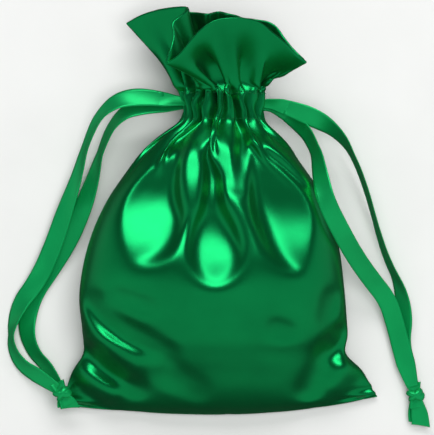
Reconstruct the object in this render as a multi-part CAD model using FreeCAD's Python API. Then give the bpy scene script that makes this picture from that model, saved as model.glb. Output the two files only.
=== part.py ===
"""Satin gift sack: a two-panel pouch lying on its back, its neck cinched by two knotted ribbons.

Frame, in millimetres: +Z up, +Y from the bottom seam to the frilled mouth, +X to the sack's right as it
lies. The origin is the centre of the sack's footprint on the surface it rests on, ribbons left aside.
"""
import FreeCAD, Part
import math
import os
from collections import namedtuple

Vector = FreeCAD.Vector

# Driving dimensions.
HALF_LENGTH = 65.5          # bottom seam to the middle, and frill rim to the middle
HALF_WIDTH = 51.0           # the bottom corners reach this far to each side
CLOTH_WALL = 0.9            # cloth with its soft body, as one wall
FRILL_WALL = 1.1            # the frill is two layers of cloth

# The gathered neck: an elliptical tube whose wall is the ribbon tunnel.
NECK_X = 0.7
NECK_Z = 12.0
NECK_HALF_WIDTH = 12.5
NECK_HALF_HEIGHT = 8.5
TUNNEL_OUTER_WALL = 1.2
TUNNEL_GAP = 1.8
TUNNEL_INNER_WALL = 1.0
NECK_START_Y = 29.5
NECK_END_Y = 39.5
TUNNEL_LIP = 1.2            # cloth left at each end of the tunnel, where it is stitched shut
TUNNEL_PLAY = 0.3           # between a bunched ribbon and the end of the tunnel
MOUTH_HALF_HEIGHT = 2.5     # the side slits that the ribbons leave through
THREAD = 0.4                # depth of a row of stitches on the cloth
THREAD_WIDTH = 0.6

# Ribbons.
RIBBON_WIDTH = 6.0
RIBBON_WALL = 0.8
BUNCHED_WIDTH = 3.2         # inside the gathered tunnel each ribbon is bunched to half its width
BUNCHED_WALL = 1.0
STRAND_STEP = 0.95          # each strand's height above or below the middle of the side slit
ARC_SHARE = 0.45            # the most of a straight run that the bend at each of its ends may use
# Cross-sections of a knot: place along the ribbon, half-width, half-height.
KNOT_SECTIONS = [(-3.2, 2.2, 1.0), (-1.9, 2.9, 1.9), (0.0, 2.4, 1.6), (1.9, 2.9, 1.9), (3.2, 2.3, 1.0)]
SEAM_WIDTH = 2.6            # the seam allowance folded inside each side
SEAM_WALL = 0.8
SEAM_CLEARANCE = 1.0        # between the folded seam and the cloth beside it
HEM_SIDE_PLAY = 0.3         # between the bottom seam's ends and the side edges
HEM_PLAY = 0.1              # between the bottom seam and the panels above and below it
PRESSED = -0.1              # the underside is lofted to this height and trimmed flat at the surface
FLANK_SPREAD = 1.3          # a rounded flank is this many times wider than it is high

# One cross-section of the sack: its place along Y, its two side edges, and the heights of the side seam,
# of the crown and of the underside.
Station = namedtuple("Station", "y left right seam top bottom")

BODY_STATIONS = [
    Station(-HALF_LENGTH, -HALF_WIDTH, HALF_WIDTH, 1.7, 3.3, PRESSED),
    Station(-60.0, -50.6, 50.0, 2.3, 5.6, PRESSED),
    Station(-50.0, -48.2, 46.0, 5.5, 15.5, PRESSED),
    Station(-38.0, -45.5, 41.0, 10.0, 28.0, PRESSED),
    Station(-25.0, -45.2, 39.5, 13.0, 35.5, PRESSED),
    Station(-10.0, -42.5, 37.5, 14.0, 37.5, PRESSED),
    Station(4.0, -36.5, 33.3, 14.0, 34.5, PRESSED),
    Station(16.0, -28.0, 25.5, 13.0, 28.5, PRESSED),
]
SHOULDER_STATIONS = [
    BODY_STATIONS[-1],
    Station(24.0, -20.0, 19.0, 12.3, 23.5, 1.4),
    Station(NECK_START_Y, NECK_X - NECK_HALF_WIDTH, NECK_X + NECK_HALF_WIDTH, NECK_Z,
            NECK_Z + NECK_HALF_HEIGHT, NECK_Z - NECK_HALF_HEIGHT),
]
FRILL_STATIONS = [
    Station(NECK_END_Y, NECK_X - NECK_HALF_WIDTH, NECK_X + NECK_HALF_WIDTH, NECK_Z,
            NECK_Z + NECK_HALF_HEIGHT, NECK_Z - NECK_HALF_HEIGHT),
    Station(43.0, -20.5, 21.0, 12.0, 23.0, 1.8),
    Station(50.0, -27.0, 28.5, 12.0, 27.5, 0.6),
    Station(58.0, -31.0, 29.0, 12.0, 30.5, 0.4),
    Station(HALF_LENGTH, -33.0, 28.0, 12.0, 32.0, 0.4),
]
# Plan outline of the frill, from the left of the neck round its rim to the right of the neck.
FRILL_OUTLINE = [
    (-18.0, 30.0), (-18.0, 39.6), (-25.7, 49.4), (-31.0, 60.8), (-22.0, 64.0), (-8.0, HALF_LENGTH),
    (9.8, 62.6), (20.5, 55.0), (27.9, 47.5), (22.0, 42.2), (15.0, 39.6), (15.0, 30.0),
]

# Ribbon routes, from just outside the neck to the knot. Each side's two strands leave one above the other.
STRAND_TOP = NECK_Z + STRAND_STEP
STRAND_LOW = NECK_Z - STRAND_STEP
LEFT_OUTER_ROUTE = [
    (-18.6, 36.4, STRAND_TOP), (-29.0, 38.0, 12.4), (-38.5, 33.0, 11.0), (-43.4, 22.5, 9.0),
    (-46.5, 11.0, 7.0), (-50.6, 0.0, 5.0), (-54.5, -11.5, 3.6), (-59.3, -21.8, 2.8),
    (-65.4, -29.7, 2.6), (-68.0, -38.0, 2.6), (-67.6, -44.4, 2.9), (-64.2, -49.6, 3.7),
    (-58.4, -52.9, 5.6), (-52.8, -56.6, 7.7),
]
LEFT_INNER_ROUTE = [
    (-18.6, 34.4, STRAND_LOW), (-27.5, 34.4, 10.8), (-34.6, 29.4, 9.6), (-38.6, 20.5, 7.8),
    (-41.3, 10.5, 6.0), (-44.8, 1.0, 4.0), (-49.2, -9.0, 2.4), (-55.2, -18.3, 1.2),
    (-61.2, -27.0, 1.0), (-63.4, -37.0, 1.0), (-61.0, -44.8, 1.4), (-56.2, -49.7, 3.0),
    (-52.0, -56.4, 6.2),
]
RIGHT_OUTER_ROUTE = [
    (20.6, 33.9, STRAND_TOP), (29.0, 31.2, 12.9), (37.8, 25.8, 10.8), (43.2, 17.5, 8.0),
    (47.2, 7.0, 5.5), (50.3, -4.0, 3.6), (53.4, -14.2, 2.2), (58.2, -24.0, 1.0),
    (59.6, -33.5, 1.0), (58.2, -42.0, 1.0), (60.3, -50.0, 1.2), (62.3, -56.5, 1.6),
]
RIGHT_INNER_ROUTE = [
    (20.6, 32.2, STRAND_LOW), (26.2, 28.0, 9.4), (30.2, 20.6, 14.8), (31.4, 12.5, 22.0),
    (33.0, 4.0, 26.0), (37.6, -5.2, 24.5), (42.8, -14.0, 17.0), (48.4, -21.5, 9.5),
    (53.8, -28.0, 4.4), (56.4, -36.0, 2.8), (58.3, -43.5, 2.7), (60.2, -50.5, 2.8),
    (62.0, -56.3, 3.2),
]
# The bunched part of each ribbon that leaves a side slit. It is tucked inside the neck far enough to fill its
# slit still when the ribbon is pulled out.
PULL_TRAVEL = 9.0
EXIT_TUCK = 0.8
EXIT_REACH = NECK_HALF_WIDTH - PULL_TRAVEL - EXIT_TUCK    # the tucked end, from the neck's axis
LEFT_EXIT_X = (NECK_X - EXIT_REACH, -16.6)
RIGHT_EXIT_X = (NECK_X + EXIT_REACH, 18.6)
# The middles of the two ribbons inside the tunnel, side by side along Y.
LEFT_BUNCHED_Y = NECK_END_Y - TUNNEL_LIP - TUNNEL_PLAY - BUNCHED_WIDTH / 2
RIGHT_BUNCHED_Y = NECK_START_Y + TUNNEL_LIP + TUNNEL_PLAY + BUNCHED_WIDTH / 2

# Knots: centre, and the direction the ribbons run through them, in degrees from +X.
LEFT_KNOT = Vector(-51.2, -58.2, 7.0)
LEFT_KNOT_ANGLE = -65.0
RIGHT_KNOT = Vector(62.9, -58.9, 2.5)
RIGHT_KNOT_ANGLE = -82.0
TAIL_START = 2.4            # tails begin inside the knot, this far from its centre
LEFT_TAIL_LENGTH = 3.6
RIGHT_TAIL_LENGTH = 8.4
TAIL_STEP = 0.7             # half the height between a knot's two tails
LOWER_TAIL_SHORTER = 0.9    # the lower tail is cut a little shorter than the upper one


def ellipse_arc(centre, first, second, start, end):
    """Arc of the ellipse whose half-axes run from centre to first and from centre to second."""
    ellipse = Part.Ellipse(first, second, centre)
    return Part.ArcOfEllipse(ellipse, start, end).toShape()


def line(start, end):
    return Part.LineSegment(start, end).toShape()


def upper_arc(station, inset):
    """Half-ellipse over a station, from its right seam to its left seam, moved in by inset."""
    middle = (station.left + station.right) / 2
    half = (station.right - station.left) / 2 - inset
    centre = Vector(middle, station.y, station.seam)
    side = Vector(middle + half, station.y, station.seam)
    crown = Vector(middle, station.y, station.top - inset)
    return ellipse_arc(centre, side, crown, 0, math.pi)


def lower_edges(station, inset):
    """Underside of a station: two rounded flanks and the flat between them, moved in by inset."""
    drop = station.seam - station.bottom
    flank = FLANK_SPREAD * drop
    edges = []
    for side, inward in ((station.right, -1), (station.left, 1)):
        centre = Vector(side + inward * flank, station.y, station.seam)
        seam = Vector(side + inward * inset, station.y, station.seam)
        floor = Vector(centre.x, station.y, station.bottom + inset)
        edges.append(ellipse_arc(centre, seam, floor, 0, math.pi / 2))
    flat = line(edges[0].Vertexes[-1].Point, edges[1].Vertexes[-1].Point)
    return [edges[0], flat, edges[1]]


def seam_line(station, side, wall):
    inward = 1 if side == station.left else -1
    start = Vector(side, station.y, station.seam)
    return line(start, Vector(side + inward * wall, station.y, station.seam))


def front_section(station, wall):
    return Part.Wire([upper_arc(station, 0), seam_line(station, station.left, wall),
                      upper_arc(station, wall), seam_line(station, station.right, wall)])


def back_section(station, wall):
    outer = lower_edges(station, 0)
    inner = lower_edges(station, wall)
    return Part.Wire(outer + [seam_line(station, station.left, wall)]
                     + inner[::-1] + [seam_line(station, station.right, wall)])


def loft(section, stations, wall):
    return Part.makeLoft([section(station, wall) for station in stations], True, False)


def panel(section):
    """One cloth panel from the bottom seam to the neck, flat where it presses on the surface."""
    body = loft(section, BODY_STATIONS, CLOTH_WALL)
    shoulder = loft(section, SHOULDER_STATIONS, CLOTH_WALL)
    size = 4 * HALF_LENGTH
    below = Part.makeBox(size, size, size, Vector(-size / 2, -size / 2, -size))
    return body.fuse(shoulder).cut(below)


def frill_half(section):
    """Half of the frilled mouth, trimmed to its plan outline."""
    floor = -CLOTH_WALL
    points = [Vector(x, y, floor) for x, y in FRILL_OUTLINE]
    rim = Part.BSplineCurve()
    rim.interpolate(points[1:-1])
    edges = [line(points[0], points[1]), rim.toShape(), line(points[-2], points[-1]),
             line(points[-1], points[0])]
    trim = Part.Face(Part.Wire(edges)).extrude(Vector(0, 0, HALF_LENGTH))
    return loft(section, FRILL_STATIONS, FRILL_WALL).common(trim)


def neck_ring(outer_inset, inner_inset, start_y, end_y):
    """Elliptical ring about the neck's axis, between two insets from the neck's outer face."""
    faces = []
    for inset in (outer_inset, inner_inset):
        centre = Vector(NECK_X, start_y, NECK_Z)
        side = Vector(NECK_X + NECK_HALF_WIDTH - inset, start_y, NECK_Z)
        crown = Vector(NECK_X, start_y, NECK_Z + NECK_HALF_HEIGHT - inset)
        wire = Part.Wire([Part.Ellipse(side, crown, centre).toShape()])
        faces.append(Part.Face(wire).extrude(Vector(0, end_y - start_y, 0)))
    return faces[0].cut(faces[1])


def slit(start_y, end_y, sides=(-1, 1)):
    """Blocks that open the neck's wall at its sides, between two places along Y."""
    blocks = []
    for side in sides:
        corner_x = NECK_X if side > 0 else NECK_X - 2 * NECK_HALF_WIDTH
        corner = Vector(corner_x, start_y, NECK_Z - MOUTH_HALF_HEIGHT)
        blocks.append(Part.makeBox(2 * NECK_HALF_WIDTH, end_y - start_y, 2 * MOUTH_HALF_HEIGHT, corner))
    return blocks


def casing():
    """The ribbon tunnel all round the neck, open at both sides."""
    inner_inset = TUNNEL_OUTER_WALL + TUNNEL_GAP + TUNNEL_INNER_WALL
    tunnel_start = NECK_START_Y + TUNNEL_LIP
    tunnel_end = NECK_END_Y - TUNNEL_LIP
    wall = neck_ring(0, inner_inset, NECK_START_Y, NECK_END_Y)
    tunnel = neck_ring(TUNNEL_OUTER_WALL, TUNNEL_OUTER_WALL + TUNNEL_GAP, tunnel_start, tunnel_end)
    return wall.cut(tunnel).cut(Part.Compound(slit(tunnel_start, tunnel_end)))


def half_of(ring, upper):
    """The part of a neck ring above or below the side seams."""
    size = 4 * NECK_HALF_WIDTH
    corner = Vector(NECK_X - size / 2, 0, NECK_Z if upper else NECK_Z - size)
    return ring.common(Part.makeBox(size, HALF_LENGTH, size, corner))


def stitch_row(y):
    """A row of stitches round the neck, standing proud of the cloth."""
    return neck_ring(-THREAD, 0, y - THREAD_WIDTH / 2, y + THREAD_WIDTH / 2)


def bunched_ribbon(middle_y, open_side):
    """The length of ribbon inside the tunnel, open on the side where its ends leave."""
    outer_inset = TUNNEL_OUTER_WALL + (TUNNEL_GAP - BUNCHED_WALL) / 2
    start_y = middle_y - BUNCHED_WIDTH / 2
    end_y = middle_y + BUNCHED_WIDTH / 2
    ring = neck_ring(outer_inset, outer_inset + BUNCHED_WALL, start_y, end_y)
    return ring.cut(Part.Compound(slit(start_y, end_y, (open_side,))))


def side_seam(side):
    """The two panels' cut edges, stitched together and folded inside along one side."""
    sections = []
    for station in BODY_STATIONS[1:] + SHOULDER_STATIONS[1:-1]:
        edge = station.left if side < 0 else station.right
        outer = edge - side * (CLOTH_WALL + SEAM_CLEARANCE)
        inner = outer - side * min(SEAM_WIDTH, station.seam)
        low = station.seam - SEAM_WALL / 2
        high = station.seam + SEAM_WALL / 2
        corners = [Vector(outer, station.y, low), Vector(inner, station.y, low),
                   Vector(inner, station.y, high), Vector(outer, station.y, high)]
        sections.append(Part.makePolygon(corners + corners[:1]))
    return Part.makeLoft(sections, True, False)


def bottom_seam():
    """The stitched bottom edge, which closes the sack between the two panels."""
    end = BODY_STATIONS[0]
    middle = Vector(0, end.y, end.seam)
    half_width = HALF_WIDTH - CLOTH_WALL - HEM_SIDE_PLAY
    half_height = (end.top - end.seam) - CLOTH_WALL - HEM_PLAY
    side = middle + Vector(half_width, 0, 0)
    crown = middle + Vector(0, 0, half_height)
    wire = Part.Wire([Part.Ellipse(side, crown, middle).toShape()])
    return Part.Face(wire).extrude(Vector(0, SEAM_WIDTH, 0))


def route_wire(route, name):
    """Straight runs joined by arcs that are tangent to both and as large as the runs allow."""
    points = [Vector(*point) for point in route]
    edges = []
    radii = []
    start = points[0]
    for before, corner, after in zip(points, points[1:], points[2:]):
        into = (corner - before).normalize()
        out = (after - corner).normalize()
        half_turn = into.getAngle(out) / 2
        reach = ARC_SHARE * min((corner - before).Length, (after - corner).Length)
        radius = reach / math.tan(half_turn)
        inward = (out - into).normalize()
        crown = corner + inward * (radius / math.cos(half_turn) - radius)
        edges.append(line(start, corner - into * reach))
        edges.append(Part.Arc(corner - into * reach, crown, corner + out * reach).toShape())
        start = corner + out * reach
        radii.append(round(radius, 1))
    edges.append(line(start, points[-1]))
    if radii:
        print(name, "arc radii, mm:", radii)
    return Part.Wire(edges)


def ribbon(route, name="ribbon"):
    """A flat strip along a route, lying level across its width."""
    path = route_wire(route, name)
    start = Vector(*route[0])
    along = (Vector(*route[1]) - start).normalize()
    across = Vector(0, 0, 1).cross(along).normalize() * (RIBBON_WIDTH / 2)
    through = along.cross(across).normalize() * (RIBBON_WALL / 2)
    corners = [start + across + through, start - across + through,
               start - across - through, start + across - through]
    sweep = Part.BRepOffsetAPI.MakePipeShell(path)
    sweep.setBiNormalMode(Vector(0, 0, 1))
    sweep.add(Part.makePolygon(corners + corners[:1]))
    sweep.build()
    sweep.makeSolid()
    strip = sweep.shape()
    expected = path.Length * RIBBON_WIDTH * RIBBON_WALL
    print(name, "length %.1f mm, volume over section x length %.3f" % (path.Length, strip.Volume / expected))
    return strip


def exit_strip(span_x, middle_y, z):
    """The straight stretch of bunched ribbon in and just outside a side slit."""
    low_x, high_x = sorted(span_x)
    corner = Vector(low_x, middle_y - BUNCHED_WIDTH / 2, z - RIBBON_WALL / 2)
    return Part.makeBox(high_x - low_x, BUNCHED_WIDTH, RIBBON_WALL, corner)


def heading(angle):
    return Vector(math.cos(math.radians(angle)), math.sin(math.radians(angle)), 0)


def knot(centre, angle):
    """An overhand knot as one lump, with a waist where the last wrap draws it in."""
    along = heading(angle)
    across = Vector(-along.y, along.x, 0)
    sections = []
    for place, half_width, half_height in KNOT_SECTIONS:
        middle = centre + along * place
        side = middle + across * half_width
        crown = middle + Vector(0, 0, half_height)
        sections.append(Part.Wire([Part.Ellipse(side, crown, middle).toShape()]))
    return Part.makeLoft(sections, True, False)


def tail(centre, angle, length, step):
    """One cut end of a ribbon, running on from its knot."""
    along = heading(angle)
    start = centre + along * TAIL_START + Vector(0, 0, step)
    end = start + along * length
    return ribbon([tuple(start), tuple(end)], "tail")


def sack_nodes():
    tunnel = casing()
    return {
        "front_panel": panel(front_section),
        "back_panel": panel(back_section),
        "front_casing": half_of(tunnel, True),
        "back_casing": half_of(tunnel, False),
        "front_frill": frill_half(front_section),
        "back_frill": frill_half(back_section),
        "upper_casing_stitches": stitch_row(NECK_END_Y - TUNNEL_LIP / 2),
        "lower_casing_stitches": stitch_row(NECK_START_Y + TUNNEL_LIP / 2),
        "left_side_seam": side_seam(-1),
        "right_side_seam": side_seam(1),
        "bottom_seam": bottom_seam(),
        "left_ribbon_in_casing": bunched_ribbon(LEFT_BUNCHED_Y, -1),
        "right_ribbon_in_casing": bunched_ribbon(RIGHT_BUNCHED_Y, 1),
    }


def ribbon_nodes(side, exit_x, exit_y, outer_route, inner_route, knot_centre, knot_angle, tail_length):
    lower_length = tail_length - LOWER_TAIL_SHORTER
    return {
        side + "_outer_ribbon_exit": exit_strip(exit_x, exit_y, STRAND_TOP),
        side + "_inner_ribbon_exit": exit_strip(exit_x, exit_y, STRAND_LOW),
        side + "_outer_ribbon": ribbon(outer_route, side + " outer ribbon"),
        side + "_inner_ribbon": ribbon(inner_route, side + " inner ribbon"),
        side + "_knot": knot(knot_centre, knot_angle),
        side + "_upper_tail": tail(knot_centre, knot_angle, tail_length, TAIL_STEP),
        side + "_lower_tail": tail(knot_centre, knot_angle, lower_length, -TAIL_STEP),
    }


def main():
    os.makedirs("parts", exist_ok=True)
    nodes = sack_nodes()
    nodes.update(ribbon_nodes("left", LEFT_EXIT_X, LEFT_BUNCHED_Y, LEFT_OUTER_ROUTE, LEFT_INNER_ROUTE,
                              LEFT_KNOT, LEFT_KNOT_ANGLE, LEFT_TAIL_LENGTH))
    nodes.update(ribbon_nodes("right", RIGHT_EXIT_X, RIGHT_BUNCHED_Y, RIGHT_OUTER_ROUTE, RIGHT_INNER_ROUTE,
                              RIGHT_KNOT, RIGHT_KNOT_ANGLE, RIGHT_TAIL_LENGTH))
    for name, shape in nodes.items():
        shape.exportStep("parts/" + name + ".step")
        print(name, "solids", len(shape.Solids), "valid", shape.isValid(), "volume %.1f" % shape.Volume)


main()
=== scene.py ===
"""Looks for a satin gift sack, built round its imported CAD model.

Blender works in metres. Lengths named here are in millimetres, and MM turns them into metres where a mesh,
a light or the camera is made.
"""
import math

import bpy
import numpy as np
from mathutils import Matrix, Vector


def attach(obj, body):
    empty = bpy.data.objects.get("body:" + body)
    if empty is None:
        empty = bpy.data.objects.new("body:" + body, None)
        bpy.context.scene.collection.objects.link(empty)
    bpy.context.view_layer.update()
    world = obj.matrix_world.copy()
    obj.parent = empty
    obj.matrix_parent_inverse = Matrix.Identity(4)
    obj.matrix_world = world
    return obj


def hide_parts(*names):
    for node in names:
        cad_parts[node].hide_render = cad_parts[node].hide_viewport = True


MM = 0.001

# The view: straight down, from high above.
CAMERA_PLACE = (-1.3, -1.46, 1000.0)
CAMERA_LENS = 255.0
FLOOR_SIZE = 3000.0
# Lights, in metres and watts: place, aim, width and height, power.
KEY_LIGHT = ((0.0, 0.85, 0.80), (0.0, 0.0, 0.02), (1.2, 0.42), 7.2)
CEILING_LIGHT = ((0.3, 0.1, 1.6), (0.0, 0.0, 0.0), (1.2, 1.2), 16.0)
SURROUND_STRENGTH = 0.44
SURROUND_COLOUR = (0.95, 1.0, 0.98)

# Colours. A pair is the darkest and the lightest of a material's patches.
CLOTH_COLOURS = ((0.004, 0.34, 0.094), (0.005, 0.40, 0.110))
RIBBON_COLOURS = ((0.004, 0.46, 0.125), (0.006, 0.56, 0.155))
FLOOR_COLOURS = ((0.86, 0.86, 0.85), (0.90, 0.90, 0.89))
THREAD_COLOUR = (0.01, 0.2, 0.06)
SHEEN_COLOUR = (0.2, 1.0, 0.4)
CLOTH_METALLIC = 0.92
CLOTH_ROUGHNESS = 0.31
RIBBON_METALLIC = 0.65
RIBBON_ROUGHNESS = 0.40

# Routes of the ribbons outside the sack, as in the CAD source.
LEFT_OUTER_ROUTE = [
    (-18.6, 36.4, 12.95), (-29.0, 38.0, 12.4), (-38.5, 33.0, 11.0), (-43.4, 22.5, 9.0),
    (-46.5, 11.0, 7.0), (-50.6, 0.0, 5.0), (-54.5, -11.5, 3.6), (-59.3, -21.8, 2.8),
    (-65.4, -29.7, 2.6), (-68.0, -38.0, 2.6), (-67.6, -44.4, 2.9), (-64.2, -49.6, 3.7),
    (-58.4, -52.9, 5.6), (-52.8, -56.6, 7.7),
]
LEFT_INNER_ROUTE = [
    (-18.6, 34.4, 11.05), (-27.5, 34.4, 10.8), (-34.6, 29.4, 9.6), (-38.6, 20.5, 7.8),
    (-41.3, 10.5, 6.0), (-44.8, 1.0, 4.0), (-49.2, -9.0, 2.4), (-55.2, -18.3, 1.2),
    (-61.2, -27.0, 1.0), (-63.4, -37.0, 1.0), (-61.0, -44.8, 1.4), (-56.2, -49.7, 3.0),
    (-52.0, -56.4, 6.2),
]
RIGHT_OUTER_ROUTE = [
    (20.6, 33.9, 12.95), (29.0, 31.2, 12.9), (37.8, 25.8, 10.8), (43.2, 17.5, 8.0),
    (47.2, 7.0, 5.5), (50.3, -4.0, 3.6), (53.4, -14.2, 2.2), (58.2, -24.0, 1.0),
    (59.6, -33.5, 1.0), (58.2, -42.0, 1.0), (60.3, -50.0, 1.2), (62.3, -56.5, 1.6),
]
RIGHT_INNER_ROUTE = [
    (20.6, 32.2, 11.05), (26.2, 28.0, 9.4), (30.2, 20.6, 14.8), (31.4, 12.5, 22.0),
    (33.0, 4.0, 26.0), (37.6, -5.2, 24.5), (42.8, -14.0, 17.0), (48.4, -21.5, 9.5),
    (53.8, -28.0, 4.4), (56.4, -36.0, 2.8), (58.3, -43.5, 2.7), (60.2, -50.5, 2.8),
    (62.0, -56.3, 3.2),
]
# How each strand turns about its own length: share of its length, degrees from lying flat.
LEFT_OUTER_TURN = [
    (0.0, 10), (0.08, 20), (0.17, 60), (0.27, 68), (0.36, 50), (0.46, 25), (0.6, 0), (0.7, 25),
    (0.8, 72), (0.87, 50), (0.93, 35), (1.0, 20),
]
LEFT_INNER_TURN = [
    (0.0, 20), (0.08, 35), (0.16, 62), (0.25, 70), (0.34, 40), (0.42, 12), (0.5, 0), (0.62, 0),
    (0.75, 10), (0.84, 40), (0.9, 50), (1.0, 30),
]
RIGHT_OUTER_TURN = [
    (0.0, 0), (0.08, 5), (0.16, 50), (0.25, 78), (0.47, 80), (0.65, 72), (0.75, 40), (0.85, 12),
    (1.0, 8),
]
RIGHT_INNER_TURN = [
    (0.0, 20), (0.08, 50), (0.15, 60), (0.23, 42), (0.31, 20), (0.41, 4), (0.68, 0), (0.78, 8),
    (1.0, 8),
]
RIBBON_WIDTH = 6.0
RIBBON_THICKNESS = 0.32
RIBBON_CUP = 0.25
STRIP_PLACES = 9                         # points across a ribbon
TURN_SMOOTHING = 6                       # passes that ease one key into the next
LIFT_SPREAD = 20                         # passes that spread a strand's lift along it
# Widths and thicknesses along the ribbons: share of the length, value. Ends that lie in another piece are thin.
STRAND_WIDTHS = [(0, 4.8), (0.06, RIBBON_WIDTH), (0.93, RIBBON_WIDTH), (1, 3.6)]
STRAND_THICKNESSES = [(0, 0.1), (0.012, RIBBON_THICKNESS)]
EXIT_WIDTHS = [(0, 2.6), (0.55, 3.2), (0.75, 4.4), (0.9, 4.95), (1, 4.7)]
EXIT_THICKNESSES = [(0, 0.26), (0.93, 0.26), (1, 0.05)]
EXIT_LEAD = 2.5                          # how far back an exit lines up with its strand, in overlap lengths
# Where the exits begin, inside the neck: x, y.
LEFT_EXIT_START = (-2.0, 36.0)
RIGHT_EXIT_START = (3.4, 33.2)
LEFT_KNOT = (-51.2, -58.2, 7.0)
LEFT_KNOT_ANGLE = -65.0
RIGHT_KNOT = (62.9, -58.9, 2.5)
RIGHT_KNOT_ANGLE = -82.0
LEFT_TAIL_LENGTH = 3.6
RIGHT_TAIL_LENGTH = 8.4
KNOT_CORE_REACH = (-4.0, 4.2)
KNOT_CORE_WIDTHS = [(0, 4.6), (0.3, 3.6), (0.5, 3.0), (0.7, 3.8), (1, 5.0)]
KNOT_CORE_THICKNESS = 2.0
# The wraps of a knot: name, slant in degrees, half-width, half-height, width of the band.
KNOT_WRAPS = (("_first", 24, 2.7, 1.75, 3.0), ("_second", -34, 2.45, 1.95, 2.4))
WRAP_SECTIONS = 49
WRAP_CORNERS = 12
WRAP_HALF_THICKNESS = 0.42
WRAP_EDGE_INSET = 0.35
# The tails of a knot: name, how much shorter it is, height over the knot's middle, degrees from lying flat,
# sway to its side. They begin at TAIL_ROOT from the knot's middle, and their length counts from KNOT_EDGE.
TAILS = (("upper", 0.0, 0.7, 12, 0.5), ("lower", 0.9, -0.5, -8, -0.5))
TAIL_WIDTHS = [(0, 3.4), (0.5, 5.4), (1, 5.9)]
TAIL_SECTIONS = 26
TAIL_CUP = 0.5
TAIL_ROOT = 1.0
KNOT_EDGE = 2.4
TAIL_DROOP = 0.08
TAIL_CLEARANCE = 0.45
# The slanted cut: how much of the tail's end it changes, the share pulled back at the middle, and the slant.
CUT_LENGTH = 2.0
CUT_BACK = 0.405
CUT_SLANT = 0.36

# The cloth.
ROWS = 153
COLUMNS = 204
PANEL_COLUMNS = COLUMNS // 2
BELLY_LENGTH = 112.0
CASING_LENGTH = 10.0
FRILL_LENGTH = 30.0
CLOTH_LENGTH = BELLY_LENGTH + CASING_LENGTH + FRILL_LENGTH
PANEL_WIDTH = 102.0
ROW_LENGTHS = np.linspace(0, CLOTH_LENGTH, ROWS)
BELLY_ROWS = int(BELLY_LENGTH / CLOTH_LENGTH * (ROWS - 1))
NECK_X = 0.7
NECK_Z = 12.0
# Lengths from the bottom seam over which the belly turns into the neck.
GATHER_SPAN = (84.0, 111.0)              # the columns draw together
ROUND_SPAN = (96.0, BELLY_LENGTH)        # the plump section turns into an ellipse
PLEAT_SPAN = (102.0, 111.5)              # the pleats deepen
WANDER_SPAN = (106.0, 113.0)             # the pleats begin to wander sideways
# The bottom edge bows down between its corners. The bow fades over CORNER_SPAN.
CORNER_SPAN = (0.0, 30.0)
LEFT_CORNER_RISE = 3.2
RIGHT_CORNER_RISE = 6.0
# Powers of a plump section's curve: how square its shoulders are in front and behind.
FRONT_SHOULDERS = 2.3
BACK_SHOULDERS = 5
SECTION_STEPS = 400
CASING_PUFF = 0.35
# Pleats of the gathered neck: visible width, and depth of the valley on its left.
FRONT_PLEATS = (
    (1.2, 2.6), (3.4, 3.4), (1.6, 4.2), (4.2, 2.8), (1.5, 4.8), (3.9, 1.6), (2.4, 3.6), (3.6, 1.2),
    (2.8, 2.4),
)
BACK_PLEATS = (
    (2.2, 2.0), (2.6, 4.6), (2.0, 2.4), (2.8, 5.0), (2.4, 3.0), (2.2, 4.6), (2.6, 2.2), (2.0, 4.8),
    (2.4, 2.6), (2.8, 5.0), (2.2, 2.4), (2.2, 4.4),
)
# Thickness of the cloth: length from the bottom seam, thickness. The casing and frill have the facing inside.
BELLY_WALL = 0.3
CASING_WALL = 1.3
FRILL_WALL = 0.8
WALLS = [
    (0.0, BELLY_WALL), (BELLY_LENGTH - 3, BELLY_WALL),
    (BELLY_LENGTH + 1, CASING_WALL), (BELLY_LENGTH + CASING_LENGTH - 1, CASING_WALL),
    (BELLY_LENGTH + CASING_LENGTH + 3, FRILL_WALL), (CLOTH_LENGTH, FRILL_WALL),
]
# One running stitch: distance along it, height over the cloth, radius.
STITCH = ((0.0, -0.15, 0.08), (0.25, 0.03, 0.11), (0.8, 0.08, 0.12), (1.35, 0.03, 0.11), (1.6, -0.15, 0.08))
STITCH_PITCH = 2.6
STITCH_CORNERS = 6
STITCH_INSET = 0.6
# Cut edges folded inside the seams: how far in from the seam they begin and end.
ALLOWANCE_THICKNESS = 0.5
SIDE_ALLOWANCE = (0.9, 3.6)
BOTTOM_ALLOWANCE = ((0.0, 0.8, 0.2), (0.0, 3.4, 0.6))
# Ribbons inside the casing: length from the bottom seam, half-width, depths of the two faces in the cloth, and
# the columns left free at each side of the slit.
LEFT_HIDDEN_LENGTH = BELLY_LENGTH + 6.5
RIGHT_HIDDEN_LENGTH = BELLY_LENGTH + 3.5
HIDDEN_HALF_WIDTH = 1.4
HIDDEN_DEPTHS = (0.5, 0.8)
HIDDEN_GAP = 3

# Settling of the shaped cloth.
SETTLE_STEPS = 400
SQUEEZE = 0.74
BEND = 0.04
EASE = 0.25
DIAGONAL_STIFFNESS = 0.2
START_ROUGHNESS = 0.06
ROUGHNESS_SMOOTHING = 6
BELLY_HOLD = 0.006
SEAM_HOLD = 0.5
CASING_HOLD = 0.012
FRILL_HOLD = 0.015
RIM_HOLD = 0.3

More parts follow.
